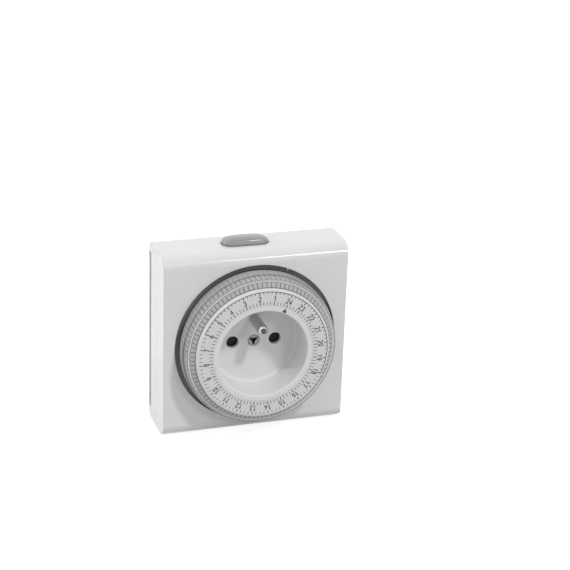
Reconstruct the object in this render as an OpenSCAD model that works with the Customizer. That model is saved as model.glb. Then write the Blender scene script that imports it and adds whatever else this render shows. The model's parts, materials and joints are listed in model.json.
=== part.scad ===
// Plug-in mechanical timer with a 24 hour tappet dial around its socket.
// X runs to the right seen from the front, Y runs back towards the wall, Z is up.
// Heights are built from the base and depths from the front plate; placed() then moves the origin
// back to the middle of the flat base.

/* [Housing] */
// Width across the back of the housing
body_w = 82.5; // [82:0.5:88]
// Height of the housing above its base
body_h = 83.3; // [82:0.1:86]
// Height of the socket axis above the base
axis_h = 41.1; // [40.5:0.1:41.5]
// Depth from the front plate to the back plate
body_d = 24; // [24:0.5:28]
// How far each side leans in from back to front
side_draft = 0.6; // [0.4:0.1:1]
// Thickness of the front plate and the walls
wall = 2; // [1.8:0.1:2.2]
// Depth of the side wall that belongs to the front cover
side_split = 10.8; // [10:0.2:12]
// Radius along the top front edge
top_r = 5.9; // [4:0.1:6]
// Radius along the bottom front edge
bottom_r = 5.7; // [4:0.1:6]
// Radius along the top back edge
back_top_r = 4; // [2:0.1:4.5]
// Radius along the bottom back edge
back_bottom_r = 4.5; // [2:0.1:4.5]
// Radius of the housing's corners in the front view
corner_r = 1.5; // [0.5:0.1:2]
// Radius of the round opening in the front plate
opening_r = 35.8; // [35.4:0.1:36.2]

/* [Dial] */
// How far the dial face stands out of the front plate
dial_proud = 12; // [11.5:0.1:12.5]
// Outer radius of the dial ring
dial_r = 29.5; // [29.3:0.1:29.6]
// Outer radius of the tappet drum
drum_r = 33.9; // [33.8:0.1:34]
// Hours in a day, one node of tappets each
hours = 24; // [24]
// Tappets in one hour
tappets_an_hour = 4; // [2:1:4]
// Gap between two tappets
tappet_gap = 0.3; // [0.3:0.02:0.4]
// How far a tappet slides in
tappet_travel = 2.5; // [1.5:0.1:2.6]
// Angle of hour 24 at rest, clockwise from the top
dial_angle = 24.5; // [0:0.5:360]

/* [Socket] */
// Distance between the live and neutral pins
pin_pitch = 19; // [19]
// Diameter of the pins
pin_d = 4.8; // [4.8]
// Diameter of the pin holes in the well floor
pin_hole_d = 5.5; // [5.3:0.1:5.6]
// Radius of the socket well
well_r = 19.5; // [19.5:0.1:19.8]
// Depth of the socket well
well_depth = 15; // [15:0.5:16]
// Height of the earth pin above the socket axis
earth_rise = 10; // [10]
// Length of the socket's earth pin
earth_len = 14; // [12:0.5:14]

/* [Plug] */
// Radius of the round plug boss on the back
boss_r = 18.5; // [18:0.1:18.8]
// Length of the plug boss
boss_len = 16; // [15:0.5:17]
// Length of the plug pins beyond the boss
plug_len = 19; // [18.5:0.5:19.5]

/* [Button] */
// Width of the override button
button_w = 20.4; // [18:0.2:21]
// Depth of the override button
button_d = 8; // [7:0.2:8]
// How far the button stands above the top
button_proud = 3.3; // [2:0.1:3.6]
// How far the button travels
button_travel = 2; // [1:0.1:2]
// Distance of the button's middle to the left of the axis
button_left = 2.6; // [2:0.1:4]
// Distance of the button's middle behind the front plate
button_back = 11.3; // [11:0.1:12]

/* [Gears] */
// Module of the ring gear and its pinion
ring_mod = 1; // [1]
// Teeth of the ring gear on the drum
ring_teeth = 54; // [54]
// Teeth of both pinions
pinion_teeth = 10; // [10]
// Module of the reduction wheel and the motor pinion
wheel_mod = 0.6; // [0.6]
// Teeth of the reduction wheel
wheel_teeth = 24; // [24]

/* [Hidden] */
$fn = 64;
eps = 0.01;
slack = 0.05;               // radial clearance of a running fit
gap = 0.3;                  // gap between pieces that pass each other

white = "#eeeeec";
dial_white = "#e2e2e0";
grey = "#8d8f92";
dark = "#22252b";
steel = "#b9bcc0";
brass = "#c9a24a";
copper = "#b86f3c";

half_w = body_w / 2;
face_y = -dial_proud;
floor_y = face_y + well_depth;
floor_t = 2;
foot_r = 1.5;
core_r = 22;
core_low_r = 19.4;
core_step_y = 7.2;
back_y = body_d - wall;
boss_y = body_d + boss_len;
plug_tip_y = boss_y + plug_len;
base_mid = 12.6;            // middle of the flat base, behind the front plate
pin_root_r = 2;
pin_x = pin_pitch / 2;

// Side panels of the rear cover
panel_low = 5.3;
panel_high = body_h - 2.3;
groove_y = [20.3, 23.3];
groove_z = [5.8, body_h - 4.7];
groove_depth = 1;

// Drum
dial_t = 1.5;
dial_gap = 0.1;
hub_r = core_r + 1.3;
drum_wall_r = 28.3;
channel_r = [29.6, 33.2];
skirt_r = [channel_r[1] + 0.15, drum_r];
skirt_y = [-5.2, -1];
low_skirt_r = [31.7, 32.3];
low_skirt_y = [-1.6, 2.6];
disc_y = [2.6, 3.8];
flange_r = opening_r - 0.1; // the drum's flange that closes the gap round it
flange_y = [2.2, 3];
retainer = [31.75, 32.4];   // radii of the ring that holds the tappets in
retainer_y = [-9.1, -7.7];
lip_end = -4.4;             // back end of a tappet's outer lip
stem_y = 1.2;
stem_r = 31.5;
blade_gap = 0.15;
fin_w = 0.16;
tappet_pitch = 360 / (hours * tappets_an_hour);

// Gear train, seen from the front: angles run anticlockwise from +X
ring_y = [4.3, 6.8];
wheel_y = [7.3, 9.3];
wheel_dir = 225;
motor_dir = -60;
ring_to_pinion = ring_mod * (ring_teeth + pinion_teeth) / 2;
wheel_to_pinion = wheel_mod * (wheel_teeth + pinion_teeth) / 2;
wheel_at = ring_to_pinion * [cos(wheel_dir), sin(wheel_dir)];
motor_shaft_at = wheel_at + wheel_to_pinion * [cos(motor_dir), sin(motor_dir)];
motor_at = [-22.4, -22.4];
motor_r = 11.5;
motor_y = [10.6, 21.1];
lead_r = 0.4;
lead_x = [25, 28];          // where the leads climb beside the core
lead_low = [-24, -26];
arbor_r = 1.2;

index_angle = 22.4;

// Cover screws
screw_at = [35, 35];
screw_r = 1.4;
screw_boss_r = 2.9;

// Follower lever and switch, in heights above the socket axis
lever_x = [11.5, 17.5];
pivot = [8.2, 34];
pivot_r = 1.1;
pin_ends = [9.8, 21.6];
ears = [[9.6, 11.2], [20, 21.6]];
nose_y = [4.1, 5.3];
nose_z = [26.2, 33];
switch_x = [12, 32];
switch_y = [11.5, 20.5];
switch_z = [20.8, 29.6];
fixed_x = [15, 17];
blade_x = [27, 29];
contact_z = [22, 28];
spring_seat_x = [-6, 1.4];
spring_seat_y = [10, back_y + eps];
spring_seat_z = [23.4, 25.2];
plunger_x = 14.5;
plunger_y = 16.5;

// ---- shared shapes ----

function unit(v) = v / norm(v);
function half_angle(a, p, b) = acos(unit(a - p) * unit(b - p)) / 2;
function run_in(a, p, b, r) = r / tan(half_angle(a, p, b));
function corner_centre(a, p, b, r) = p + unit(unit(a - p) + unit(b - p)) * r / sin(half_angle(a, p, b));

// A convex outline whose corners are rounded by the given radii
module rounded_outline(pts, radii) {
  n = len(pts);
  polygon([for (i = [0:n - 1])
    let (a = pts[(i + n - 1) % n], p = pts[i], b = pts[(i + 1) % n])
    for (q = [a, b]) p + unit(q - p) * (radii[i] > 0 ? run_in(a, p, b, radii[i]) : 0)]);
  for (i = [0:n - 1])
    if (radii[i] > 0)
      translate(corner_centre(pts[(i + n - 1) % n], pts[i], pts[(i + 1) % n], radii[i]))
        circle(radii[i]);
}

// An outline drawn in (Y, Z), extruded across the width from x0 to x1
module across(x0, x1) { translate([x0, 0, 0]) rotate([90, 0, 90]) linear_extrude(x1 - x0) children(); }

// An outline drawn in (X, Z) about the socket axis, extruded from y0 back to y1
module deep(y0, y1) { translate([0, y1, axis_h]) rotate([90, 0, 0]) linear_extrude(y1 - y0) children(); }

// A round bar along Y at a place (x, z) from the socket axis
module rod(at, r, y0, y1) { deep(y0, y1) translate(at) circle(r); }

// A tube around the socket axis
module tube(r_out, r_in, y0, y1) { deep(y0, y1) difference() { circle(r_out); circle(r_in); } }

// A profile drawn in (radius, Y), turned around the socket axis
module turned() { translate([0, 0, axis_h]) rotate([-90, 0, 0]) rotate_extrude() children(); }

// A block given by its x, y and z spans; heights are measured from the socket axis
module block(xs, ys, zs) {
  translate([xs[0], ys[0], axis_h + zs[0]]) cube([xs[1] - xs[0], ys[1] - ys[0], zs[1] - zs[0]]);
}

// Involute gear outline with a tooth centred on +X
pressure = 25;
tooth_share = 0.44;         // tooth thickness as a share of the circular pitch
function inv(a) = tan(a) * 180 / PI - a;
function flank(m, n, r) =
  let (rp = m * n / 2, rb = rp * cos(pressure))
  360 * tooth_share / n / 2 + inv(pressure) - inv(acos(min(1, rb / max(r, rb))));
module gear_outline(m, n, steps = 3) {
  rp = m * n / 2;
  root = rp - 1.15 * m;
  tip = rp + 0.8 * m;
  low = max(root, rp * cos(pressure));
  rs = [for (i = [0:steps]) low + (tip - low) * i / steps];
  polygon([for (k = [0:n - 1], side = [-1, 1], i = [-1:steps])
    let (j = side < 0 ? i : steps - 1 - i,
         r = j < 0 ? root : rs[j],
         a = 360 * k / n + side * flank(m, n, max(r, low)))
    r * [cos(a), sin(a)]]);
}

// Coil spring along Z or, turned, along Y
function coil_point(r, pitch, t) = [r * cos(360 * t), r * sin(360 * t), pitch * t];
module coil(r, wire_r, pitch, turns, steps = 12, sides = 6) {
  n = turns * steps;
  rise = atan(pitch / (2 * PI * r));
  pts = [for (i = [0:n], k = [0:sides - 1])
    let (t = i / steps, a = 360 * k / sides, c = coil_point(r, pitch, t),
         out = [cos(360 * t), sin(360 * t), 0],
         up = [sin(360 * t) * sin(rise), -cos(360 * t) * sin(rise), cos(rise)])
    c + wire_r * (cos(a) * out + sin(a) * up)];
  polyhedron(pts, concat(
    [[for (k = [sides - 1:-1:0]) k]],
    [for (i = [0:n - 1], k = [0:sides - 1], half = [0, 1])
      let (a = i * sides + k, b = i * sides + (k + 1) % sides)
      half == 0 ? [a, b, b + sides] : [a, b + sides, a + sides]],
    [[for (k = [0:sides - 1]) n * sides + k]]));
}

// ---- housing ----

// Side view of the whole housing: curved front edges, flat base, flat back
module side_outline(inset = 0) {
  i = inset;
  rounded_outline(
    [[i, body_h - i], [i, i], [body_d - i, i], [body_d - i, body_h - i]],
    [top_r, bottom_r, back_bottom_r, back_top_r] - [i, i, i, i]);
}

// View from above: the sides lean in towards the front
module plan_outline(inset = 0) {
  f = half_w - side_draft - inset;
  b = half_w - inset;
  polygon([[-f + 0.4, 0], [-f, 0.4], [-b, body_d], [b, body_d], [f, 0.4], [f - 0.4, 0]]);
}

// View from the front: a rounded square
module front_outline() {
  w = half_w + 0.2;
  low = -axis_h;
  high = body_h - axis_h;
  r = corner_r;
  rounded_outline([[-w, high], [-w, low], [w, low], [w, high]], [r, r, r, r]);
}

module housing_form(inset = 0) {
  intersection() {
    across(-half_w, half_w) side_outline(inset);
    translate([0, 0, -1]) linear_extrude(body_h + 2) plan_outline(inset);
    if (inset == 0) deep(-1, body_d + 1) front_outline();
  }
}

// The side regions that belong to the rear cover
module side_panels(clear = 0) {
  for (s = [-1, 1])
    translate([s > 0 ? half_w - side_draft - wall - 1 - clear : -half_w - 1, side_split - clear, panel_low - clear])
      cube([side_draft + wall + 2 + clear, body_d, panel_high - panel_low + 2 * clear]);
}

module corner_posts(r, y0, y1) {
  for (sx = [-1, 1], sz = [-1, 1])
    rod([sx * screw_at[0], sz * screw_at[1]], r, y0, y1);
}

module front_cover() color(white) {
  difference() {
    union() {
      difference() {
        housing_form();
        housing_form(wall);
        translate([-half_w, back_y, 0]) cube([body_w, wall + 1, body_h]);
      }
      // collar behind the opening, open where the follower lever reaches in
      difference() {
        tube(opening_r + 1.4, opening_r + 0.2, wall - eps, wall + 2);
        block([ears[0][0] - 0.5, ears[1][1] + 0.5], [wall, wall + 3], [24, 40]);
      }
      for (e = ears) block(e, [pivot[0] - 1.8, pivot[0] + 1.8], [pivot[1] - 2.2, body_h - axis_h - wall + eps]);
      intersection() {
        corner_posts(screw_boss_r, wall - eps, back_y - gap);
        housing_form(wall / 2);
      }
    }
    tube(opening_r, 0, -1, wall + 1);
    side_panels(0.1);
    corner_posts(screw_r, 8, body_d);
    button_form(button_w + 2 * gap, button_d + 2 * gap, body_h - 2 * wall, body_h + 1);
    translate([pin_ends[0], pivot[0], axis_h + pivot[1]]) rotate([0, 90, 0]) cylinder(r = pivot_r + slack, h = 20);
  }
  // index tab on the edge of the opening, in line with the hour
  deep(0.4, wall) rotate(-index_angle) translate([0, opening_r + 0.3])
    polygon([[-0.8, 0], [0.8, 0], [0, -1.4]]);
}

module rear_cover() color(white) {
  difference() {
    union() {
      intersection() {
        housing_form();
        union() {
          translate([-half_w, back_y, 0]) cube([body_w, wall, body_h]);
          difference() {
            side_panels();
            housing_form(wall);
          }
        }
      }
      tube(boss_r, boss_r - wall, back_y, boss_y);
      tube(boss_r, 0, boss_y - wall, boss_y);
      for (s = [-1, 1]) rod([s * pin_x, 0], 4.2, boss_y - 9, boss_y - eps);
      rod([0, earth_rise], 4.4, body_d, boss_y - eps);
      rod([0, 0], 4, back_y, boss_y - eps);
      block(spring_seat_x, spring_seat_y, spring_seat_z);
    }
    difference() {
      tube(boss_r - wall, 0, back_y - 1, body_d + eps);
      rod([0, 0], 4, back_y - 2, boss_y);
    }
    rod([0, 0], 1.45, back_y - 1, back_y + 10);
    for (s = [-1, 1]) {
      rod([s * pin_x, 0], pin_root_r, body_d, boss_y + 1);
      // grip grooves in the side panels
      translate([s > 0 ? half_w - groove_depth : -half_w - 1, groove_y[0], groove_z[0]])
        cube([groove_depth + 1, groove_y[1] - groove_y[0], groove_z[1] - groove_z[0]]);
      // guide slots at the sides of the boss and seats of the earth clips above and below
      block([s > 0 ? boss_r - 1.4 : -boss_r - 1, s > 0 ? boss_r + 1 : -boss_r + 1.4], [body_d + 3, boss_y + 1], [-2.8, 2.8]);
      block([-3.6, 3.6], [body_d + 3, boss_y + 1], s > 0 ? [boss_r - 1.3, boss_r + 1] : [-boss_r - 1, -boss_r + 1.3]);
    }
    rod([0, earth_rise], 3.3, body_d - 1, boss_y + 1);
    corner_posts(screw_r + 0.2, back_y - 1, body_d + 1);
    corner_posts(2.6, body_d - 1.2, body_d + 1);
  }
}

module cover_screws() color(steel) {
  for (sx = [-1, 1], sz = [-1, 1]) {
    at = [sx * screw_at[0], sz * screw_at[1]];
    difference() {
      rod(at, 2.4, body_d - 1.15, body_d - 0.1);
      deep(body_d - 0.6, body_d + 1) translate(at) square([3.2, 0.7], center = true);
    }
    rod(at, screw_r - 0.05, 9, body_d - 1.15 + eps);
  }
}

// ---- socket ----

module socket_core() color(white) {
  difference() {
    union() {
      turned() rounded_outline(
        [[well_r, face_y + 0.05], [core_r, face_y + 0.05], [core_r, floor_y + eps], [well_r, floor_y + eps]],
        [0.6, 0.2, 0, 0]);
      // rounded foot of the well's wall
      turned() difference() {
        translate([well_r - foot_r, floor_y - foot_r]) square(foot_r + eps);
        translate([well_r - foot_r, floor_y - foot_r]) circle(foot_r);
      }
      tube(core_r, 0, floor_y, floor_y + floor_t);
      tube(core_r, core_low_r - 1.4, floor_y + floor_t - eps, core_step_y);
      tube(core_low_r, core_low_r - 1.4, core_step_y - eps, back_y);
      rod([0, 0], 4, floor_y + floor_t - eps, back_y);
    }
    for (s = [-1, 1]) rod([s * pin_x, 0], pin_hole_d / 2, floor_y - 1, floor_y + floor_t + 1);
    rod([0, earth_rise], pin_root_r, floor_y - 1, floor_y + floor_t + 1);
    rod([0, 0], 2.7, floor_y - 1, floor_y + 1.2);
    rod([0, 0], 1.6, floor_y, back_y + 1);
  }
}

module core_screw() color(steel) difference() {
  union() {
    rod([0, 0], 2.6, floor_y + 0.1, floor_y + 1.2);
    rod([0, 0], 1.45, floor_y + 1.2 - eps, back_y + 8);
  }
  // three-winged recess
  deep(floor_y, floor_y + 0.8) for (a = [90, 210, 330]) rotate(a) translate([0, -0.3]) square([1.9, 0.6]);
}

module earth_pin() color(steel) {
  r = pin_d / 2;
  translate([0, floor_y - earth_len + r, axis_h + earth_rise]) sphere(r);
  rod([0, earth_rise], r, floor_y - earth_len + r, floor_y);
  rod([0, earth_rise], pin_root_r, floor_y - eps, back_y - 1.5);
}

// Two blades that cover the pin holes and turn aside when both pins push
module shutter() color(dark) {
  y0 = floor_y + floor_t + gap;
  difference() {
    union() {
      tube(6.2, 4 + slack, y0, y0 + 1.6);
      intersection() {
        tube(13.4, 6, y0, y0 + 1.6);
        deep(y0, y0 + 1.6) for (s = [0, 180]) rotate(s)
          polygon([[0, 0], [20, -6.6], [20, 6.6]]);
      }
    }
  }
}

module shutter_spring() color(steel) {
  translate([0, floor_y + floor_t + 2.4, axis_h]) rotate([-90, 0, 0]) coil(5.1, 0.3, 0.9, 3);
}

// A receiving clip: two leaves joined by a base
module clip(x) {
  ys = [9, 19.4];
  for (s = [-1, 1]) block([x + s * 2.75 - 0.35, x + s * 2.75 + 0.35], ys, [-3.2, 3.2]);
  block([x - 3.1, x + 3.1], [ys[1] - eps, ys[1] + 0.8], [-3.2, 3.2]);
}

module live_clip() color(brass) clip(pin_x);
module neutral_clip() color(brass) clip(-pin_x);

// ---- plug ----

module plug_pin(x) {
  r = pin_d / 2;
  rod([x, 0], r, boss_y, plug_tip_y - r);
  translate([x, plug_tip_y - r, axis_h]) sphere(r);
  rod([x, 0], pin_root_r, body_d - 0.6, boss_y + eps);
}

module live_plug_pin() color(steel) plug_pin(pin_x);
module neutral_plug_pin() color(steel) plug_pin(-pin_x);

module neutral_link() color(copper) {
  block([-pin_x - 1.5, -pin_x + 1.5], [20.2, body_d - 0.6], [-1.5, 1.5]);
}

// From the live plug pin to the switch, under the core's rim
module live_link() color(copper) {
  block([pin_x - 1.5, pin_x + 1.5], [back_y + 0.3, body_d - 0.6], [-1.5, 12]);
}

module earth_link() color(brass) {
  block([-2, 2], [back_y - 1.5, body_d - 0.2], [earth_rise - 2, earth_rise + 2]);
}

module rear_earth_socket() color(brass) difference() {
  rod([0, earth_rise], 3.3, body_d - 0.2, boss_y - 0.5);
  rod([0, earth_rise], pin_d / 2 + 0.1, body_d + 0.8, boss_y);
}

module side_earth_clips() color(steel) {
  for (s = [-1, 1]) {
    z0 = s > 0 ? boss_r - 1.3 : -boss_r + 0.5;
    block([-3, 3], [body_d + 3, boss_y - 1], [z0, z0 + 0.8]);
  }
}

// ---- dial ----

module dial_ring() color(dial_white) turned() intersection() {
  rounded_outline(
    [[core_r + dial_gap, face_y], [dial_r, face_y], [dial_r, face_y + 3], [core_r + dial_gap, face_y + 3]],
    [0.25, 1.1, 0, 0]);
  translate([core_r, face_y]) square([dial_r, dial_t]);
}

module tappet_drum() color(white) {
  y0 = face_y + dial_t;
  tube(hub_r, core_r + slack, y0, ring_y[1]);
  tube(channel_r[0], hub_r - eps, y0, y0 + 1.2);
  tube(channel_r[0], drum_wall_r, y0, disc_y[0] + eps);
  tube(channel_r[0], hub_r - eps, disc_y[0], disc_y[1]);
  tube(skirt_r[1], skirt_r[0], skirt_y[0], skirt_y[1]);
  tube(skirt_r[1], low_skirt_r[0], low_skirt_y[0], skirt_y[1]);
  tube(low_skirt_r[1], low_skirt_r[0], low_skirt_y[0], low_skirt_y[1]);
  tube(flange_r, low_skirt_r[0], flange_y[0], flange_y[1]);
  tube(retainer[1], retainer[0], retainer_y[0], retainer_y[1]);
  // thin fins between the tappets tie the inner wall, the retaining ring and the skirts together
  for (k = [0:hours * tappets_an_hour - 1])
    translate([0, 0, axis_h]) rotate([0, k * tappet_pitch + dial_angle, 0])
      translate([-fin_w / 2, 0, 0]) rotate([90, 0, 90]) linear_extrude(fin_w) fin_section();
}

// One fin in radial section, drawn in (Y, radius)
module fin_section() {
  inner = channel_r[0] - 0.1;
  outer = channel_r[1] - 0.25;
  polygon([[-10.1, inner], [-9, retainer[0] - 0.15], [-8.75, retainer[1] + 0.1], [-8.45, outer],
           [skirt_y[0] + 0.2, outer], [skirt_y[0] + 0.2, skirt_r[0] + 0.2],
           [skirt_y[1] - 0.2, skirt_r[0] + 0.2], [skirt_y[1] - 0.2, low_skirt_r[0] + 0.2],
           [low_skirt_y[1] - 0.2, low_skirt_r[0] + 0.2], [low_skirt_y[1] - 0.2, inner]]);
}

module ring_gear() color(dial_white) difference() {
  deep(ring_y[0], ring_y[1]) rotate(wheel_dir) gear_outline(ring_mod, ring_teeth);
  tube(hub_r, 0, ring_y[0] - 1, ring_y[1] + 1);
}

// One tappet in radial section: sloped cell, notch for the retaining ring, outer lip, stem
module tappet_section() {
  r0 = channel_r[0] + blade_gap;
  r1 = channel_r[1];
  notch = retainer_y[1] + 0.15;
  polygon([[-10.45, r0], [-9.35, retainer[0] - 0.15], [notch, retainer[0] - 0.15],
           [notch, retainer[1] + 0.15], [-9.0, retainer[1] + 0.15], [-8.8, r1],
           [lip_end, r1], [lip_end, stem_r], [stem_y, stem_r], [stem_y, r0]]);
}

// Front view of one tappet's space, narrower towards the axis
module tappet_wedge() {
  function half(r) = r * tan(tappet_pitch / 2) - tappet_gap / 2;
  low = channel_r[0];
  high = channel_r[1] + 1;
  polygon([[-half(low), low], [half(low), low], [half(high), high], [-half(high), high]]);
}

module tappets(h) color(dial_white) {
  for (k = [0:tappets_an_hour - 1]) {
    turn = dial_angle - (h * tappets_an_hour - k - 0.5) * tappet_pitch;
    intersection() {
      translate([0, 0, axis_h]) rotate([0, turn, 0]) translate([-2, 0, 0])
        rotate([90, 0, 90]) linear_extrude(4) tappet_section();
      deep(-11, 2) rotate(-turn) tappet_wedge();
    }
  }
}

// ---- gear train ----

module reduction_gear() color(dial_white) difference() {
  union() {
    deep(ring_y[0], ring_y[1]) translate(wheel_at)
      rotate(wheel_dir + 180 + 180 / pinion_teeth) gear_outline(ring_mod, pinion_teeth);
    rod(wheel_at, 3, ring_y[1] - eps, wheel_y[0] + eps);
    deep(wheel_y[0], wheel_y[1]) translate(wheel_at) rotate(motor_dir) gear_outline(wheel_mod, wheel_teeth);
  }
  rod(wheel_at, arbor_r + slack, ring_y[0] - 1, wheel_y[1] + 1);
}

module reduction_arbor() color(steel) rod(wheel_at, arbor_r, ring_y[0] - 0.4, motor_y[0] + 1.4);

module motor_can() color(steel) difference() {
  union() {
    rod(motor_at, motor_r, motor_y[0], motor_y[1]);
    rod(motor_shaft_at, 1.9, motor_y[0] - 0.6, motor_y[0] + eps);
  }
  rod(wheel_at, arbor_r, motor_y[0] - 1, motor_y[0] + 1.4);
  rod(motor_shaft_at, 0.8 + slack, motor_y[0] - 1, motor_y[0] + 3);
}

module motor_pinion() color(brass) {
  deep(wheel_y[0], wheel_y[1]) translate(motor_shaft_at)
    rotate(motor_dir + 180 + 180 / pinion_teeth) gear_outline(wheel_mod, pinion_teeth);
  rod(motor_shaft_at, 0.8, wheel_y[1] - eps, motor_y[0] + 2.8);
}

// Two leads run along the back plate, under the core and up to the switch
module motor_leads() color(copper) {
  y = motor_y[1] + lead_r;
  top = [contact_z[0] + 2, contact_z[0]];
  for (i = [0, 1]) {
    translate([-16, y, axis_h + lead_low[i]]) rotate([0, 90, 0]) cylinder(r = lead_r, h = lead_x[i] + 16);
    translate([lead_x[i], y, axis_h + lead_low[i]]) {
      sphere(lead_r);
      cylinder(r = lead_r, h = top[i] - lead_low[i]);
    }
  }
  // the first lead turns towards the fixed contact
  translate([fixed_x[1], y, axis_h + top[0]]) rotate([0, 90, 0]) cylinder(r = lead_r, h = lead_x[0] - fixed_x[1]);
  translate([lead_x[0], y, axis_h + top[0]]) sphere(lead_r);
}

// ---- override button ----

// Stadium outline of the button, between two heights above the base
module button_form(w, d, z0, z1) {
  translate([-button_left, button_back, z0]) linear_extrude(z1 - z0) {
    square([w - d, d], center = true);
    for (s = [-1, 1]) translate([s * (w - d) / 2, 0]) circle(d / 2);
  }
}

module override_button() color(grey) {
  top = body_h + button_proud;
  hull() {
    button_form(button_w, button_d, body_h - 3.4, top - 2.2);
    // each step of the dome: how far it leans in, and how far below the top it is
    for (step = [[0.7, 1.2], [2, 0.5], [4, 0.12], [6.4, 0]])
      button_form(button_w - step[0], button_d - step[0], top - step[1] - eps, top - step[1]);
  }
  button_form(button_w + 2, button_d + 2, body_h - 4.4, body_h - 3.4 + eps);
  translate([-button_left, button_back, body_h - 9]) cylinder(r = 1.6, h = 5);
}

module button_spring() color(steel) {
  translate([-button_left, button_back, axis_h + spring_seat_z[1] + 0.35]) coil(2.5, 0.3, 1.45, 8);
}

// ---- follower lever and switch ----

module follower_lever() color(grey) difference() {
  union() {
    block(lever_x, nose_y, [nose_z[0], nose_z[1] + 1]);
    block(lever_x, [nose_y[0], pivot[0]], [nose_z[1], nose_z[1] + 2.2]);
    translate([lever_x[0], pivot[0], axis_h + pivot[1]]) rotate([0, 90, 0]) cylinder(r = 2.3, h = lever_x[1] - lever_x[0]);
    block(lever_x, [pivot[0], plunger_y + 1.2], [nose_z[1] - 0.4, nose_z[1] + 1]);
  }
  translate([lever_x[0] - 1, pivot[0], axis_h + pivot[1]]) rotate([0, 90, 0]) cylinder(r = pivot_r + slack, h = 10);
}

module lever_pin() color(steel)
  translate([pin_ends[0], pivot[0], axis_h + pivot[1]]) rotate([0, 90, 0])
    cylinder(r = pivot_r, h = pin_ends[1] - pin_ends[0]);

module lever_spring() color(steel)
  translate([lever_x[1] + 0.5, pivot[0], axis_h + pivot[1]]) rotate([0, 90, 0]) coil(1.6, 0.2, 0.6, 3);

module switch_body() color(dark) difference() {
  block(switch_x, switch_y, switch_z);
  translate([plunger_x, plunger_y, axis_h + switch_z[1] - 4]) cylinder(r = 1 + slack, h = 5);
}

module switch_plunger() color(white)
  translate([plunger_x, plunger_y, axis_h + switch_z[1] - 2.6]) cylinder(r = 1, h = 5.3);

module fixed_contact() color(brass) block(fixed_x, [switch_y[1], switch_y[1] + 1], contact_z);
module contact_blade() color(brass) block(blade_x, [switch_y[1], switch_y[1] + 1], contact_z);

// The finished part, with its origin in the middle of the flat base
module placed() { translate([0, -base_mid, 0]) children(); }

placed() front_cover();
placed() rear_cover();
placed() socket_core();
placed() core_screw();
placed() earth_pin();
placed() shutter();
placed() shutter_spring();
placed() dial_ring();
placed() tappet_drum();
placed() ring_gear();
placed() reduction_gear();
placed() reduction_arbor();
placed() motor_can();
placed() motor_pinion();
placed() override_button();
placed() button_spring();
placed() follower_lever();
placed() lever_pin();
placed() lever_spring();
placed() switch_body();
placed() switch_plunger();
placed() fixed_contact();
placed() contact_blade();
placed() live_clip();
placed() neutral_clip();
placed() live_link();
placed() neutral_link();
placed() earth_link();
placed() live_plug_pin();
placed() neutral_plug_pin();
placed() rear_earth_socket();
placed() side_earth_clips();
placed() motor_leads();
placed() cover_screws();
for (h = [1:hours])
  placed() tappets(h);
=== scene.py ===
"""A plug-in mechanical timer: a white housing with a 24 hour tappet dial round its socket.

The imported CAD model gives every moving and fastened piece. This script gives those pieces their
materials, adds the printing, the seams and a thin lip on the dial, draws the button and the screw
in the well more fully, and sets the floor, the lamps and the camera.
Lengths are in metres and named angles in degrees, turned into radians for sines and cosines.
"""

import json
import math

import bmesh
import bpy
from mathutils import Matrix, Vector


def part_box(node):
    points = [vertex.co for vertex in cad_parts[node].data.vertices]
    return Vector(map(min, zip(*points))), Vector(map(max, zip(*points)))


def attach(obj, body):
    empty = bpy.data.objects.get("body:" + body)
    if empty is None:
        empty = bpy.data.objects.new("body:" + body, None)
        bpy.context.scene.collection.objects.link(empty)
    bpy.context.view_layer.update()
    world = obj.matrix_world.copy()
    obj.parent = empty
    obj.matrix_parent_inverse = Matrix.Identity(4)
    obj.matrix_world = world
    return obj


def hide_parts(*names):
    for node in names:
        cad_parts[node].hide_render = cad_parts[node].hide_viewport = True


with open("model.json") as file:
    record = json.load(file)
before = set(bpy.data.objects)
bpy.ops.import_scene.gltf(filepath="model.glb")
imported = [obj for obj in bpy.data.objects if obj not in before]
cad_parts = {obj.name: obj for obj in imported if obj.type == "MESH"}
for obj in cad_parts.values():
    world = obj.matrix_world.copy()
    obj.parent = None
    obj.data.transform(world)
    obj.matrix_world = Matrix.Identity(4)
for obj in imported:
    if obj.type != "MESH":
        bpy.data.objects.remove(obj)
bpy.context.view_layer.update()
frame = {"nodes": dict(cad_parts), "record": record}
nodes = frame["nodes"]

MM = 0.001
SHARP = 0.02 * MM                             # smallest width given to a pointed end

# Where things are on the object
ring_low, ring_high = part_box("dial_ring")
AXIS_Z = (ring_low[2] + ring_high[2]) / 2     # height of the dial's axis
DIAL_Y = ring_low[1]                          # the dial's face
PLATE_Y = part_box("front_cover")[0][1]         # the housing's front plate
DIAL_ANGLE = 24.5                             # hour 24, clockwise from the top
HOURS = 24
TICKS = 96                                    # marks round the dial, and seams round the drum

# Marks on the dial, with radii from the axis
PRINT_PROUD = 0.012 * MM
INNER_TICKS = (22.45 * MM, 23.95 * MM)
OUTER_TICKS = (27.05 * MM, 28.2 * MM)
HOUR_TICK_WIDTH = 0.4 * MM
QUARTER_TICK_WIDTH = 0.25 * MM
QUARTER_INSET = 0.35 * MM     # along the arc line the quarter marks start this much further out
ARC_RADIUS = 28.35 * MM
ARC_WIDTH = 0.28 * MM
NIGHT = (-6, 6)               # the arc line runs from hour 18 through 24 to hour 6
NIGHT_MARK_BASE = 26.6 * MM   # a longer mark at each end of the arc line
NIGHT_MARK_WIDTH = 0.34 * MM

# Digits on the dial
DIGIT_RADIUS = 25.4 * MM      # of their middle
DIGIT_HEIGHT = 2.45 * MM
DIGIT_WIDTH = 0.5             # of the height
DIGIT_SPACE = 0.13            # of the height
DIGIT_STROKE = 0.4 * MM
DIGIT_MITRE = 0.5             # lowest cosine for a mitre, so that no sharp bend gets a spike
DIGIT_JOIN = 1e-6             # a stroke whose ends are this close is a closed loop

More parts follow.
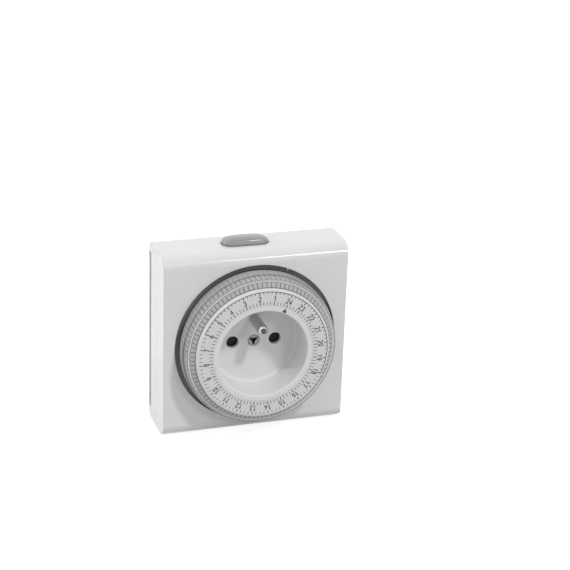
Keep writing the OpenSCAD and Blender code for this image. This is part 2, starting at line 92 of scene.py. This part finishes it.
# Pointer on the rim of the socket core
POINTER_BASE = 20.1 * MM
POINTER_TIP = 21.95 * MM
POINTER_WIDTH = 2.3 * MM

# Lip that closes the gap between the dial and the socket core
LIP_RADIUS = 22.1 * MM
LIP_WIDTH = 0.4 * MM

# Seams on the drum's outer band
BAND_RADIUS = 33.9 * MM
BAND_Y = (PLATE_Y - 5.15 * MM, PLATE_Y - 1.6 * MM)
SEAM_WIDTH = 0.15 * MM

# Button
BUTTON_LENGTH = 20.4 * MM
BUTTON_DEPTH = 8 * MM
BUTTON_WALL = 1.2 * MM        # upright part above the housing, below the dome
BUTTON_BEND = 0.3 * MM        # height over which the wall's shading turns into the dome's
BUTTON_SHOULDER = 0.72        # power of the dome's section: 1 is an ellipse, less is squarer
BUTTON_CROWN = 2.6            # power of its height along the button: 2 is an ellipse, more is fuller
BUTTON_FOOT = 3.4 * MM        # the button's body reaches this far below the housing's top
FLANGE_FOOT = 4.4 * MM        # and the flange under it this far
FLANGE_REACH = 1 * MM         # beyond the body, all round
STEM_WIDTH = 3.2 * MM
BUTTON_STATIONS = 48          # steps along the button
DOME_STEPS = 16               # steps across its dome
ROUND_STEPS = 24              # steps in each round end of flange and stem

# Screw in the well
SCREW_RADIUS = 2.6 * MM
SCREW_RIM = 0.5 * MM          # flat rim round the dish
SCREW_CHAMFER = 0.25 * MM     # the head's edge lies this far behind its face
HEAD_THICKNESS = 1.1 * MM
SHANK_RADIUS = 1.45 * MM
DISH = 0.25 * MM              # depth of the dish in the head
RECESS_WINGS = 3
RECESS_WING = 0.85 * MM       # width of a wing
RECESS_REACH = 1.7 * MM       # from the axis to a wing's end
RECESS_HUB = 0.85 * MM        # radius of the recess's middle
RECESS_DEPTH = 1.0 * MM
RECESS_SLOPE = 0.12 * MM      # width over which the recess's wall goes down
SCREW_ROWS = 26               # steps from the screw's axis to its edge
SCREW_STEPS = 120             # steps round it


# ---- materials ----

NOISE_DETAIL = 2
LOWEST_ROUGHNESS = 0.02
RELIEF_HEIGHT = 0.05 * MM
EDGE_SAMPLES = 4
COAT_ROUGHNESS = 0.06

# Darker zones of a material, painted shade and a painted dark reflection: the share of its colour
# that is left, and where the zone lies
PIN_TIP_REFLECTION_SHARE = 0.15          # a painted dark reflection in the middle of the earth pin's domed tip
PIN_TIP_DEPTH = 0.35 * MM     # as far as this behind the tip
RECESS_SHADE_SHARE = 0.05           # painted shade in the recess of the screw
RECESS_FROM = 0.4 * MM        # from this far behind the screw's face
DRUM_SHADE_SHARE = 0.27             # painted shade on the drum, but for the ring that holds the tappets in, left light as a painted highlight
RETAINER = (31.5 * MM, 32.6 * MM)     # inner and outer radius of that ring
BAND_SHADE_SHARE = 0.6              # lighter painted shade on the drum's outer band
BAND_FROM = 33.2 * MM         # its inner radius
BEHIND_SHADE_SHARE = 0.5            # painted shade on all of the drum behind the front plate, on top of the others
BEHIND_FROM = 0.5 * MM        # from this far behind it
DIAL_REACH = 20 * MM          # more than the dial stands out of the front plate


def mixed(tree, factor, low, high):
    """A colour between two values, steered by a factor from 0 to 1."""
    mix = tree.nodes.new("ShaderNodeMix")
    mix.data_type = "RGBA"
    mix.inputs["A"].default_value = (*low, 1)
    mix.inputs["B"].default_value = (*high, 1)
    tree.links.new(factor, mix.inputs["Factor"])
    return mix.outputs["Result"]


def noise(tree, size):
    """Object-space noise whose blobs are about this size."""
    place = tree.nodes.new("ShaderNodeTexCoord")
    node = tree.nodes.new("ShaderNodeTexNoise")
    node.inputs["Scale"].default_value = 1 / size
    node.inputs["Detail"].default_value = NOISE_DETAIL
    tree.links.new(place.outputs["Object"], node.inputs["Vector"])
    return node.outputs["Fac"]


def surface(name, color, roughness, *, shade=0.03, patch=12 * MM, grain=0.4 * MM, bump=0.02,
            metallic=0.0, spread=0.05, specular=0.5, coat=0.0, edge=0.0):
    """Moulded plastic or metal: slight patches in the colour, fine grain in gloss and relief.

    An edge radius rounds the shading of the sharp edges.
    """
    material = bpy.data.materials.new(name)
    material.use_nodes = True
    tree = material.node_tree
    shader = tree.nodes["Principled BSDF"]
    dark = tuple(c * (1 - shade) for c in color)
    tree.links.new(mixed(tree, noise(tree, patch), dark, color), shader.inputs["Base Color"])
    fine = noise(tree, grain)
    gloss = tree.nodes.new("ShaderNodeMapRange")
    gloss.inputs["To Min"].default_value = max(LOWEST_ROUGHNESS, roughness - spread)
    gloss.inputs["To Max"].default_value = roughness + spread
    tree.links.new(fine, gloss.inputs["Value"])
    tree.links.new(gloss.outputs["Result"], shader.inputs["Roughness"])
    relief = tree.nodes.new("ShaderNodeBump")
    relief.inputs["Strength"].default_value = bump
    relief.inputs["Distance"].default_value = RELIEF_HEIGHT
    tree.links.new(fine, relief.inputs["Height"])
    tree.links.new(relief.outputs["Normal"], shader.inputs["Normal"])
    if edge:
        rounding = tree.nodes.new("ShaderNodeBevel")
        rounding.samples = EDGE_SAMPLES
        rounding.inputs["Radius"].default_value = edge
        tree.links.new(rounding.outputs["Normal"], relief.inputs["Normal"])
    shader.inputs["Metallic"].default_value = metallic
    shader.inputs["Specular IOR Level"].default_value = specular
    shader.inputs["Coat Weight"].default_value = coat
    shader.inputs["Coat Roughness"].default_value = COAT_ROUGHNESS
    return material


def along_y(tree):
    """Object-space distance behind the origin."""
    place = tree.nodes.new("ShaderNodeTexCoord")
    parts = tree.nodes.new("ShaderNodeSeparateXYZ")
    tree.links.new(place.outputs["Object"], parts.inputs[0])
    return parts.outputs["Y"]


def from_axis(tree):
    """Object-space distance from the dial's axis."""
    place = tree.nodes.new("ShaderNodeTexCoord")
    centred = tree.nodes.new("ShaderNodeVectorMath")
    centred.operation = "SUBTRACT"
    centred.inputs[1].default_value = (0, 0, AXIS_Z)
    flat = tree.nodes.new("ShaderNodeVectorMath")
    flat.operation = "MULTIPLY"
    flat.inputs[1].default_value = (1, 0, 1)
    length = tree.nodes.new("ShaderNodeVectorMath")
    length.operation = "LENGTH"
    tree.links.new(place.outputs["Object"], centred.inputs[0])
    tree.links.new(centred.outputs["Vector"], flat.inputs[0])
    tree.links.new(flat.outputs["Vector"], length.inputs[0])
    return length.outputs["Value"]


def zoned(material, measure, bands):
    """Shades a material in bands of a measure, each with its start and its share of the colour.

    What comes before the first start belongs to the first band, and the last band has no end.
    """
    tree = material.node_tree
    base = tree.nodes["Principled BSDF"].inputs["Base Color"]
    start, end = bands[0][0], bands[-1][0] + MM
    span = tree.nodes.new("ShaderNodeMapRange")
    span.inputs["From Min"].default_value = start
    span.inputs["From Max"].default_value = end
    tree.links.new(measure(tree), span.inputs["Value"])
    ramp = tree.nodes.new("ShaderNodeValToRGB")
    ramp.color_ramp.interpolation = "CONSTANT"
    stops = ramp.color_ramp.elements
    while len(stops) < len(bands):
        stops.new(1)
    for stop, (at, share) in zip(stops, bands):
        stop.position = (at - start) / (end - start)
        stop.color = (share, share, share, 1)
    tree.links.new(span.outputs["Result"], ramp.inputs["Fac"])
    mix = tree.nodes.new("ShaderNodeMix")
    mix.data_type = "RGBA"
    mix.blend_type = "MULTIPLY"
    mix.inputs["Factor"].default_value = 1
    tree.links.new(base.links[0].from_socket, mix.inputs["A"])
    tree.links.new(ramp.outputs["Color"], mix.inputs["B"])
    tree.links.new(mix.outputs["Result"], base)


housing_white = surface("housing_white", (0.75, 0.75, 0.755), 0.16, edge=0.35 * MM)
dial_white = surface("dial_white", (0.69, 0.69, 0.69), 0.38, grain=0.3 * MM, edge=0.15 * MM)
core_white = surface("core_white", (0.775, 0.775, 0.775), 0.5, specular=0.2, edge=0.2 * MM)
drum_white = surface("drum_white", (0.36, 0.36, 0.36), 0.4)
drum_painted_light_and_shade = surface("drum_painted_light_and_shade", (0.7, 0.7, 0.7), 0.4)
tappet_white = surface("tappet_white", (0.43, 0.43, 0.43), 0.38)
button_grey = surface("button_grey", (0.235, 0.24, 0.25), 0.12, specular=1.0, coat=1.0)
dark_plastic = surface("dark_plastic", (0.007, 0.008, 0.018), 0.4, bump=0.05, specular=0.2)
plated = surface("plated", (0.48, 0.48, 0.49), 0.2, metallic=1, shade=0.08, bump=0.01)
pin_painted_reflection = surface("pin_painted_reflection", (0.56, 0.56, 0.57), 0.16, metallic=1, shade=0.08, bump=0.01)
steel = surface("steel", (0.50, 0.50, 0.51), 0.3, metallic=1, shade=0.12, grain=0.15 * MM)
screw_steel = surface("screw_steel", (0.2, 0.2, 0.205), 0.28, metallic=1, shade=0.12,
                      grain=0.15 * MM)
brass = surface("brass", (0.70, 0.52, 0.24), 0.28, metallic=1, shade=0.15)
copper = surface("copper", (0.72, 0.38, 0.22), 0.3, metallic=1, shade=0.15)
seam_grey = surface("seam_grey", (0.13, 0.13, 0.13), 0.5, bump=0.0)
ink = surface("ink", (0.045, 0.045, 0.05), 0.5, bump=0.0, grain=0.1 * MM)

# a painted dark reflection in the middle of the pin's domed tip
pin_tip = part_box("earth_pin")[0][1]
zoned(pin_painted_reflection, along_y, [(pin_tip - MM, PIN_TIP_REFLECTION_SHARE), (pin_tip + PIN_TIP_DEPTH, 1)])
# painted shade in the screw's recess
screw_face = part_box("core_screw")[0][1]
zoned(screw_steel, along_y, [(screw_face - MM, 1), (screw_face + RECESS_FROM, RECESS_SHADE_SHARE)])
# painted shade on the drum, with its retaining ring left light as a painted highlight
zoned(drum_painted_light_and_shade, from_axis, [(0, DRUM_SHADE_SHARE), (RETAINER[0], 1), (RETAINER[1], DRUM_SHADE_SHARE),
                               (BAND_FROM, BAND_SHADE_SHARE)])
# painted shade on the drum behind the front plate
zoned(drum_painted_light_and_shade, along_y, [(PLATE_Y - DIAL_REACH, 1), (PLATE_Y + BEHIND_FROM, BEHIND_SHADE_SHARE)])

SLOT_MATERIALS = {
    "housing_white": housing_white,
    "dial_face": dial_white,
    "drum_white": drum_white,
    "tappet_white": tappet_white,
    "gear_white": drum_white,
    "button_grey": button_grey,
    "dark_plastic": dark_plastic,
    "plated_pin": plated,
    "steel": steel,
    "brass": brass,
    "copper": copper,
}

NODE_MATERIALS = {"socket_core": core_white, "earth_pin": pin_painted_reflection, "tappet_drum": drum_painted_light_and_shade}

for part in frame["record"]["subparts"]:
    material = NODE_MATERIALS.get(part["node"], SLOT_MATERIALS[part["material_slot"]])
    for holder in nodes[part["node"]].material_slots:
        holder.material = material


# ---- shapes ----

def loft(bm, rings, closed=False):
    """Skins a row of point rings, which either comes back to its start or has both ends closed."""
    rows = [[bm.verts.new(p) for p in ring] for ring in rings]
    count = len(rows[0])
    followers = rows[1:] + rows[:1] if closed else rows[1:]
    for one, two in zip(rows, followers):
        for k in range(count):
            bm.faces.new((one[k], one[(k + 1) % count], two[(k + 1) % count], two[k]))
    if not closed:
        bm.faces.new(rows[0])
        bm.faces.new(rows[-1])


def finished(bm, name, material, body, smooth=0):
    """Turns a bmesh into a piece that rides on a body, smooth below an angle in degrees."""
    bmesh.ops.recalc_face_normals(bm, faces=bm.faces)
    for face in bm.faces:
        face.smooth = smooth > 0
    for edge in bm.edges:
        if edge.is_manifold and edge.calc_face_angle() > math.radians(smooth):
            edge.smooth = False
    mesh = bpy.data.meshes.new(name)
    bm.to_mesh(mesh)
    bm.free()
    piece = bpy.data.objects.new(name, mesh)
    piece.data.materials.append(material)
    bpy.context.scene.collection.objects.link(piece)
    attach(piece, body)
    return piece


def hour_angle(hour):
    """Clockwise angle of an hour: the hours run anticlockwise."""
    return DIAL_ANGLE - hour * 360 / HOURS


def dial_point(radius, clockwise, y=DIAL_Y):
    """A point of the dial's face at a radius and an angle clockwise from the top."""
    a = math.radians(clockwise)
    return Vector((radius * math.sin(a), y, AXIS_Z + radius * math.cos(a)))


def strip(bm, sides, closed=False):
    """A thin raised band, given by pairs of points along its two edges."""
    lift = Vector((0, PRINT_PROUD, 0))
    loft(bm, [(a - lift, b - lift, b, a) for a, b in sides], closed)


def tick(bm, radii, angle, widths, y=DIAL_Y):
    """A radial mark with its width at its inner and its outer end."""
    sides = []
    for radius, width in zip(radii, widths):
        half = math.degrees(width / 2 / radius)
        sides.append((dial_point(radius, angle - half, y), dial_point(radius, angle + half, y)))
    strip(bm, sides)


def arc(bm, radius, width, start, end, steps=144):
    """A curved printed line between two angles, or a whole ring."""
    closed = end - start == 360
    angles = [start + (end - start) * k / steps for k in range(steps if closed else steps + 1)]
    strip(bm, [(dial_point(radius - width / 2, a), dial_point(radius + width / 2, a))
               for a in angles], closed)


# ---- marks on the dial ----

bm = bmesh.new()
for i in range(TICKS):
    hour = i * HOURS / TICKS
    whole = hour == int(hour)
    width = HOUR_TICK_WIDTH if whole else QUARTER_TICK_WIDTH
    tick(bm, INNER_TICKS, hour_angle(hour), (width, width))
    start, end = OUTER_TICKS
    if hour <= NIGHT[1] or hour >= HOURS + NIGHT[0]:
        start += 0 if whole else QUARTER_INSET
        end = ARC_RADIUS
    tick(bm, (start, end), hour_angle(hour), (width, width))
arc(bm, ARC_RADIUS, ARC_WIDTH, hour_angle(NIGHT[0]), hour_angle(NIGHT[1]))
for hour in NIGHT:
    tick(bm, (NIGHT_MARK_BASE, ARC_RADIUS), hour_angle(hour), (NIGHT_MARK_WIDTH, NIGHT_MARK_WIDTH))
finished(bm, "dial_scale", ink, "dial")


# ---- digits ----

def bow(x, y, across, up, start, end, steps=16):
    """Points along an ellipse, at angles clockwise from its top."""
    angles = [math.radians(start + (end - start) * k / steps) for k in range(steps + 1)]
    return [(x + across * math.sin(a), y + up * math.cos(a)) for a in angles]


# Strokes of each digit in a box 0.5 wide and 1 high
SIX = [bow(0.25, 0.30, 0.19, 0.24, 0, 360), bow(0.36, 0.35, 0.30, 0.58, -95, -5)]
DIGITS = {
    "0": [bow(0.25, 0.5, 0.19, 0.43, 0, 360, 24)],
    "1": [[(0.06, 0.70), (0.29, 0.90), (0.29, 0.0)]],
    "2": [bow(0.25, 0.68, 0.19, 0.25, -80, 115) + [(0.06, 0.07), (0.47, 0.07)]],
    "3": [bow(0.24, 0.71, 0.17, 0.22, -75, 180), bow(0.24, 0.28, 0.20, 0.22, 0, 255)],
    "4": [[(0.36, 0.0), (0.36, 0.88), (0.05, 0.27), (0.48, 0.27)]],
    "5": [[(0.43, 0.93), (0.13, 0.93), (0.10, 0.50)] + bow(0.24, 0.31, 0.20, 0.25, -40, 250)],
    "6": SIX,
    "7": [[(0.04, 0.93), (0.46, 0.93), (0.20, 0.0)]],
    "8": [bow(0.25, 0.72, 0.16, 0.21, 0, 360), bow(0.25, 0.28, 0.20, 0.24, 0, 360)],
    "9": [[(0.5 - x, 1 - y) for x, y in stroke] for stroke in SIX],
}


def stroke_edges(points, width):
    """The two edges of a pen stroke along a line of points, with mitred corners."""
    points = [Vector(p) for p in points]
    closed = (points[0] - points[-1]).length < DIGIT_JOIN
    if closed:
        points.pop()
    count = len(points)
    edges = []
    for i, p in enumerate(points):
        run_in = (p - points[i - 1]).normalized() if closed or i else None
        run_out = (points[(i + 1) % count] - p).normalized() if closed or i < count - 1 else None
        run_in, run_out = run_in or run_out, run_out or run_in
        along = (run_in + run_out).normalized()
        reach = width / 2 / max(DIGIT_MITRE, along.dot(run_in))
        side = Vector((-along.y, along.x)) * reach
        edges.append((p - side, p + side))
    return edges, closed


for hour in range(1, HOURS + 1):
    bm = bmesh.new()
    a = math.radians(hour_angle(hour))
    middle = dial_point(DIGIT_RADIUS, hour_angle(hour))
    rightward = Vector((math.cos(a), 0, -math.sin(a)))
    outward = Vector((math.sin(a), 0, math.cos(a)))
    word = str(hour)
    left = -(len(word) * DIGIT_WIDTH + (len(word) - 1) * DIGIT_SPACE) / 2
    for place, digit in enumerate(word):
        start = left + place * (DIGIT_WIDTH + DIGIT_SPACE)
        for stroke in DIGITS[digit]:
            edges, closed = stroke_edges(stroke, DIGIT_STROKE / DIGIT_HEIGHT)
            strip(bm, [[middle + DIGIT_HEIGHT * ((start + p.x) * rightward + (p.y - 0.5) * outward)
                        for p in pair] for pair in edges], closed)
    finished(bm, f"hour_{hour}", ink, "dial")


# ---- pointer, lip and seams ----

bm = bmesh.new()
core_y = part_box("socket_core")[0][1]
tick(bm, (POINTER_BASE, POINTER_TIP), DIAL_ANGLE, (POINTER_WIDTH, SHARP), core_y)
finished(bm, "pointer", ink, "housing")

bm = bmesh.new()
arc(bm, LIP_RADIUS, LIP_WIDTH, 0, 360)
finished(bm, "dial_lip", dial_white, "dial")

# the seams are in line with the gaps between the tappets
bm = bmesh.new()
half = math.degrees(SEAM_WIDTH / 2 / BAND_RADIUS)
corners = ((PRINT_PROUD, -half), (PRINT_PROUD, half), (-PRINT_PROUD, half), (-PRINT_PROUD, -half))
for i in range(TICKS):
    angle = hour_angle(i * HOURS / TICKS)
    loft(bm, [[dial_point(BAND_RADIUS + proud, angle + turn, y) for proud, turn in corners]
              for y in BAND_Y])
finished(bm, "drum_seams", seam_grey, "dial")


# ---- button ----

button_low, button_high = (Vector(v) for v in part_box("override_button"))
button_mid = (button_low + button_high) / 2
half_length = BUTTON_LENGTH / 2
half_depth = BUTTON_DEPTH / 2
housing_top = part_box("front_cover")[1][2]
body_foot = housing_top - BUTTON_FOOT
flange_foot = housing_top - FLANGE_FOOT
wall_top = housing_top + BUTTON_WALL
dome = button_high.z - wall_top


def button_section(x):
    """The upright outline of the button's body, at a distance from its middle along its length."""
    past = max(0, abs(x) - (half_length - half_depth))
    depth = max(SHARP, math.sqrt(max(0, half_depth ** 2 - past ** 2)))
    rise = dome * (1 - min(1, abs(x) / half_length) ** BUTTON_CROWN) ** 0.5
    profile = [(-depth, body_foot), (-depth, wall_top - BUTTON_BEND)]
    for n in range(DOME_STEPS + 1):
        a = math.pi * n / DOME_STEPS
        across = math.copysign(abs(math.cos(a)) ** BUTTON_SHOULDER, math.cos(a))
        profile.append((-depth * across, wall_top + rise * math.sin(a) ** BUTTON_SHOULDER))
    profile += [(depth, wall_top - BUTTON_BEND), (depth, body_foot)]
    return [Vector((button_mid.x + x, button_mid.y + y, z)) for y, z in profile]


def flat_ring(length, depth, z):
    """A level outline with round ends, round the button's axis."""
    straight = (length - depth) / 2
    points = []
    for side in (1, -1):
        for k in range(ROUND_STEPS + 1):
            a = math.pi * k / ROUND_STEPS - math.pi / 2
            points.append(Vector((button_mid.x + side * (straight + depth / 2 * math.cos(a)),
                                  button_mid.y + side * depth / 2 * math.sin(a), z)))
    return points


bm = bmesh.new()
loft(bm, [button_section(-half_length * math.cos(math.pi * k / BUTTON_STATIONS))
          for k in range(BUTTON_STATIONS + 1)])
flange = (BUTTON_LENGTH + 2 * FLANGE_REACH, BUTTON_DEPTH + 2 * FLANGE_REACH)
loft(bm, [flat_ring(*flange, flange_foot), flat_ring(*flange, body_foot)])
loft(bm, [flat_ring(STEM_WIDTH, STEM_WIDTH, z) for z in (button_low.z, flange_foot)])
cap = finished(bm, "button_cap", button_grey, "override_button", smooth=35)
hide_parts("override_button")


# ---- screw in the well ----

screw_low, screw_high = (Vector(v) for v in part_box("core_screw"))
screw_x, screw_z = (screw_low.x + screw_high.x) / 2, (screw_low.z + screw_high.z) / 2


def recess(radius, a):
    """Depth of the winged recess in the screw's head, at an angle in radians."""
    turn = 360 / RECESS_WINGS
    wing = math.radians(math.degrees(a) % turn - turn / 2)
    aside = radius * abs(math.sin(wing))
    reach = radius * math.cos(wing)
    outside = max(aside - RECESS_WING / 2, reach - RECESS_REACH)
    outside = min(outside, radius - RECESS_HUB)
    return RECESS_DEPTH * min(1, max(0, 0.5 - outside / RECESS_SLOPE))


def screw_ring(radius, y=None):
    """Points round the screw's axis, level at y or else on its dished and recessed face."""
    dish = DISH * (1 - min(1, radius / (SCREW_RADIUS - SCREW_RIM)) ** 2)
    points = []
    for k in range(SCREW_STEPS):
        a = 2 * math.pi * k / SCREW_STEPS
        at = screw_low.y + dish + recess(radius, a) if y is None else y
        points.append(Vector((screw_x + radius * math.sin(a), at, screw_z + radius * math.cos(a))))
    return points


head_back = screw_low.y + HEAD_THICKNESS
rings = [screw_ring(SCREW_RADIUS * (k + 0.5) / SCREW_ROWS) for k in range(SCREW_ROWS - 1)]
rings += [screw_ring(SCREW_RADIUS, screw_low.y + SCREW_CHAMFER), screw_ring(SCREW_RADIUS, head_back),
          screw_ring(SHANK_RADIUS, head_back), screw_ring(SHANK_RADIUS, screw_high.y)]
bm = bmesh.new()
loft(bm, rings)
screw = finished(bm, "screw_in_well", screw_steel, "housing", smooth=30)
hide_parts("core_screw")


# ---- world, floor and lamps ----

FRONT_SKY = 0.38              # strength of the room behind the camera
BACK_SKY = 0.9                # and of the pale backdrop behind the object
SKY_TURN = 0.5                # a direction whose y is beyond this sees only the one or the other
FLOOR_SIZE = 6
FLOOR_DROP = 0.2 * MM         # keeps the floor clear of the timer's bottom
FLOOR_GREY = 0.55
FLOOR_GLOW = 0.8              # makes the floor pale where it is seen


def camera_switch(tree, seen, lighting):
    """Gives one shader to rays that see the background and the other to rays that light things."""
    rays = tree.nodes.new("ShaderNodeLightPath")
    factor = rays.outputs["Is Camera Ray"]
    for kind in ("Is Glossy Ray", "Is Transmission Ray"):
        either = tree.nodes.new("ShaderNodeMath")
        either.operation = "MAXIMUM"
        tree.links.new(factor, either.inputs[0])
        tree.links.new(rays.outputs[kind], either.inputs[1])
        factor = either.outputs[0]
    mix = tree.nodes.new("ShaderNodeMixShader")
    tree.links.new(factor, mix.inputs["Fac"])
    tree.links.new(lighting, mix.inputs[1])
    tree.links.new(seen, mix.inputs[2])
    return mix.outputs["Shader"]


world = bpy.data.worlds.new("studio")
world.use_nodes = True
bpy.context.scene.world = world
tree = world.node_tree
lighting = tree.nodes["Background"]
lighting.inputs["Color"].default_value = (1, 1, 1, 1)
toward = tree.nodes.new("ShaderNodeTexCoord")
parts = tree.nodes.new("ShaderNodeSeparateXYZ")
tree.links.new(toward.outputs["Generated"], parts.inputs[0])
ramp = tree.nodes.new("ShaderNodeMapRange")
ramp.interpolation_type = "SMOOTHSTEP"
ramp.inputs["From Min"].default_value = -SKY_TURN
ramp.inputs["From Max"].default_value = SKY_TURN
ramp.inputs["To Min"].default_value = FRONT_SKY
ramp.inputs["To Max"].default_value = BACK_SKY
tree.links.new(parts.outputs["Y"], ramp.inputs["Value"])
tree.links.new(ramp.outputs[0], lighting.inputs["Strength"])
seen = tree.nodes.new("ShaderNodeBackground")
seen.inputs["Color"].default_value = (1, 1, 1, 1)
seen.inputs["Strength"].default_value = 1
output = tree.nodes["World Output"]
tree.links.new(camera_switch(tree, seen.outputs[0], lighting.outputs[0]), output.inputs["Surface"])

floor_material = bpy.data.materials.new("pale_floor")
floor_material.use_nodes = True
tree = floor_material.node_tree
diffuse = tree.nodes.new("ShaderNodeBsdfDiffuse")
diffuse.inputs["Color"].default_value = (FLOOR_GREY, FLOOR_GREY, FLOOR_GREY, 1)
glow = tree.nodes.new("ShaderNodeEmission")
glow.inputs["Strength"].default_value = FLOOR_GLOW
lit = tree.nodes.new("ShaderNodeAddShader")
tree.links.new(diffuse.outputs[0], lit.inputs[0])
tree.links.new(glow.outputs[0], lit.inputs[1])
output = tree.nodes["Material Output"]
tree.links.new(camera_switch(tree, lit.outputs[0], diffuse.outputs[0]), output.inputs["Surface"])

bpy.ops.mesh.primitive_plane_add(size=FLOOR_SIZE, location=(0, 0, -FLOOR_DROP))
floor = bpy.context.object
floor.name = "floor"
floor.data.materials.append(floor_material)


def sun(name, azimuth, elevation, strength, width):
    """A distant soft lamp. Its azimuth runs from the front of the object towards its right."""
    lamp = bpy.data.lights.new(name, "SUN")
    lamp.energy = strength
    lamp.angle = math.radians(width)
    a, e = math.radians(azimuth), math.radians(elevation)
    source = Vector((math.sin(a) * math.cos(e), -math.cos(a) * math.cos(e), math.sin(e)))
    holder = bpy.data.objects.new(name, lamp)
    holder.rotation_euler = (-source).to_track_quat("-Z", "Y").to_euler()
    bpy.context.scene.collection.objects.link(holder)
    return holder


key = sun("key", azimuth=27, elevation=53, strength=1.18, width=6)
key.visible_glossy = False    # no reflection shows it
sun("second", azimuth=-50, elevation=45, strength=0.22, width=30)
sun("side", azimuth=-95, elevation=10, strength=0.72, width=30)
sun("line", azimuth=22, elevation=27, strength=0.3, width=6)


# ---- camera ----

CAMERA_AT = Vector((-187.4 * MM, PLATE_Y - 594.9 * MM, AXIS_Z + 279.5 * MM))
CAMERA_AZIMUTH = 18.56        # its gaze, turned from straight back towards the object's right
CAMERA_ELEVATION = 22.02      # its gaze, turned down
CAMERA_ROLL = -2.04
FOCAL_PIXELS = 1589.59        # focal length, in pixels of the photograph
FRAME_PIXELS = 570            # the photograph's width
SENSOR = 36                   # in millimetres

azimuth, elevation, roll = (
    math.radians(angle) for angle in (CAMERA_AZIMUTH, CAMERA_ELEVATION, CAMERA_ROLL))
forward = Vector((math.sin(azimuth) * math.cos(elevation),
                  math.cos(azimuth) * math.cos(elevation), -math.sin(elevation)))
level = Vector((math.cos(azimuth), -math.sin(azimuth), 0))
down = forward.cross(level)
right = math.cos(roll) * level + math.sin(roll) * down
up = math.sin(roll) * level - math.cos(roll) * down
turned = Matrix((right, up, -forward)).transposed().to_4x4()

lens = bpy.data.cameras.new("camera")
lens.sensor_width = SENSOR
lens.lens = FOCAL_PIXELS / FRAME_PIXELS * SENSOR
camera = bpy.data.objects.new("camera", lens)
camera.matrix_world = Matrix.Translation(CAMERA_AT) @ turned
bpy.context.scene.collection.objects.link(camera)
bpy.context.scene.camera = camera
bpy.context.scene.view_settings.view_transform = "Standard"
